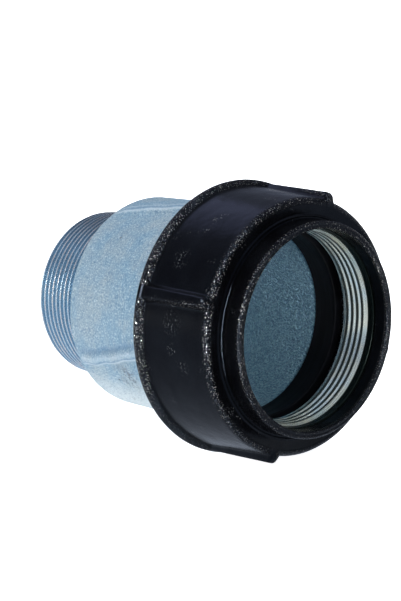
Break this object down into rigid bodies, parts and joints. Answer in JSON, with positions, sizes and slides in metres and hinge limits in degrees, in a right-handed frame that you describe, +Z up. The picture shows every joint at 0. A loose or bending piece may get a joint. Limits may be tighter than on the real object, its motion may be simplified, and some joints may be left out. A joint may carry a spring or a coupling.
{
  "type": "pipe union",
  "caption": "Clamp union that joins a plain pipe end, gripped and sealed under a screwed nut, to a female pipe thread through its male taper thread.",
  "frame": {"origin": "on the fitting's axis, in the end face of the male taper thread", "axes": "+X along the axis from the taper thread towards the nut and the mouth that the pipe enters; +Z up as the fitting lies in a level pipe run"},
  "size_m": [0.1078, 0.0898, 0.0898],
  "materials": {
    "galvanised_casting": "zinc coated, satin, fine cast grain",
    "black_casting": "glossy black coating over cast grain",
    "plated_steel": "zinc plated, turned",
    "rubber_seal": "matt black"
  },
  "bodies": {
    "body": {"threaded_body": "galvanised_casting", "seal_ring": "rubber_seal"},
    "rings": {"clamp_ring": "plated_steel", "thrust_ring": "plated_steel"},
    "nut": {"union_nut": "black_casting"}
  },
  "joints": [
    {"name": "nut_travel", "type": "slide", "parent": "body", "child": "rings", "axis": [1, 0, 0], "range_m": [-0.00231, 0.0104]},
    {"name": "nut_turn", "type": "hinge", "parent": "rings", "child": "nut", "pos_m": [0.09, 0, 0], "axis": [1, 0, 0], "range_deg": [-360, 1620]}
  ],
  "couplings": [
    {"joint": "nut_travel", "follows": "nut_turn", "m_per_rad": 0.00036749}
  ]
}
